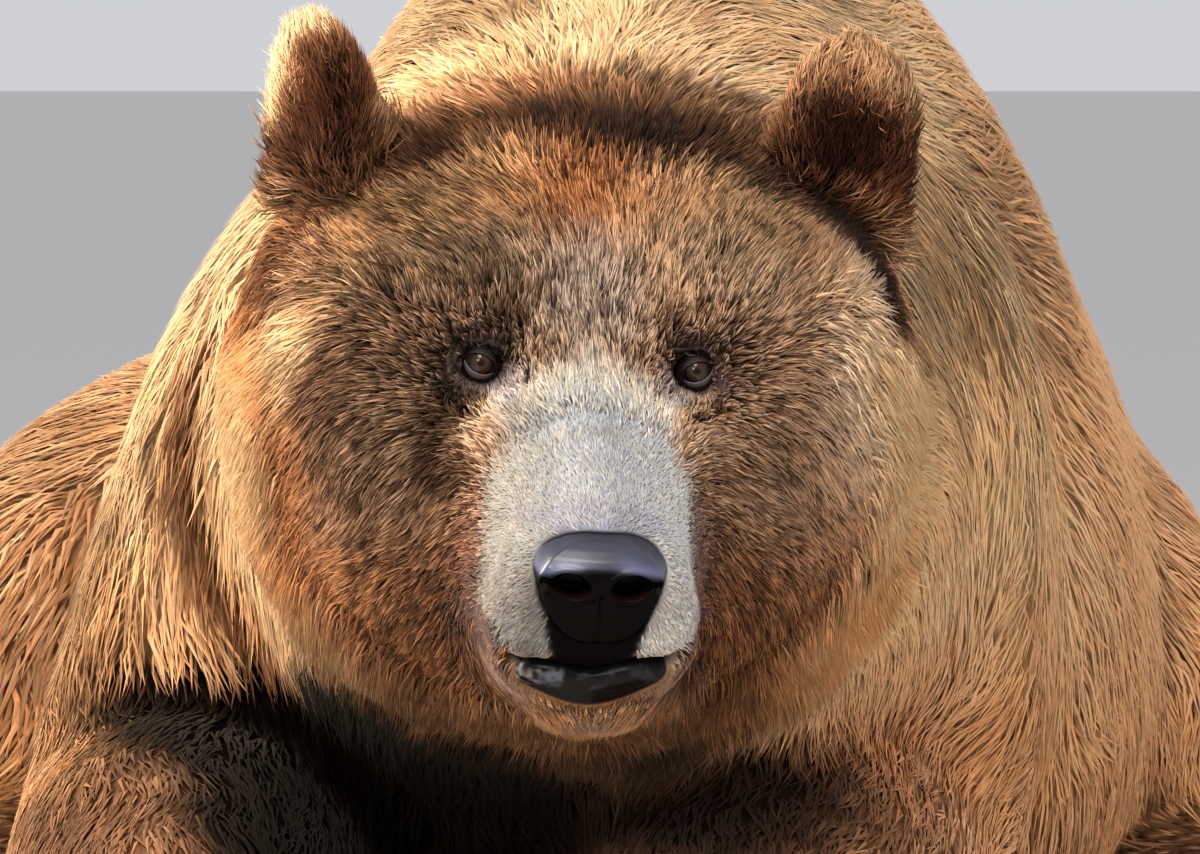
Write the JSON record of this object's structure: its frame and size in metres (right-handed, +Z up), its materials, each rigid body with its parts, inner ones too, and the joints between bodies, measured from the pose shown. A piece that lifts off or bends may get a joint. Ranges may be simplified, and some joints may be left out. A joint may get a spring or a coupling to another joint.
{
  "type": "lying brown bear model",
  "caption": "Still life-size brown bear lying on its belly, head raised and facing forward, forelegs stretched ahead, haunches at its sides.",
  "frame": {"origin": "bottom centre of the whole model's box, on the floor under the chest", "axes": "+Z up, -Y the way the bear faces, +X its left side"},
  "size_m": [1.0612, 1.9786, 0.7752],
  "materials": {
    "brown_coat": "long dense matte brown fur, darker in the creases and on the lower legs",
    "golden_coat": "long matte golden tan fur",
    "face_coat": "short greyish brown fur with pale tips and an orange rim",
    "muzzle_coat": "very short pale grey-beige fur",
    "nose_skin": "finely pebbled black skin with a moist satin sheen",
    "wet_eye": "wet clear gloss over a dark brown iris",
    "claw_horn": "dark satin horn, paler at the tips"
  },
  "bodies": {
    "root": {"head": "face_coat", "lower_jaw": "muzzle_coat", "nose": "nose_skin", "ear_left": "face_coat", "eye_left": "wet_eye", "ear_right": "face_coat", "eye_right": "wet_eye", "neck": "golden_coat", "trunk": "brown_coat", "tail": "brown_coat", "foreleg_left_upper": "brown_coat", "foreleg_left_forearm": "brown_coat", "foreleg_left_paw": "brown_coat", "foreleg_left_claw_1": "claw_horn", "foreleg_left_claw_2": "claw_horn", "foreleg_left_claw_3": "claw_horn", "foreleg_left_claw_4": "claw_horn", "foreleg_left_claw_5": "claw_horn", "hindleg_left_thigh": "brown_coat", "hindleg_left_foot": "brown_coat", "hindleg_left_claw_1": "claw_horn", "hindleg_left_claw_2": "claw_horn", "hindleg_left_claw_3": "claw_horn", "hindleg_left_claw_4": "claw_horn", "hindleg_left_claw_5": "claw_horn", "foreleg_right_upper": "brown_coat", "foreleg_right_forearm": "brown_coat", "foreleg_right_paw": "brown_coat", "foreleg_right_claw_1": "claw_horn", "foreleg_right_claw_2": "claw_horn", "foreleg_right_claw_3": "claw_horn", "foreleg_right_claw_4": "claw_horn", "foreleg_right_claw_5": "claw_horn", "hindleg_right_thigh": "brown_coat", "hindleg_right_foot": "brown_coat", "hindleg_right_claw_1": "claw_horn", "hindleg_right_claw_2": "claw_horn", "hindleg_right_claw_3": "claw_horn", "hindleg_right_claw_4": "claw_horn", "hindleg_right_claw_5": "claw_horn"}
  },
  "joints": []
}
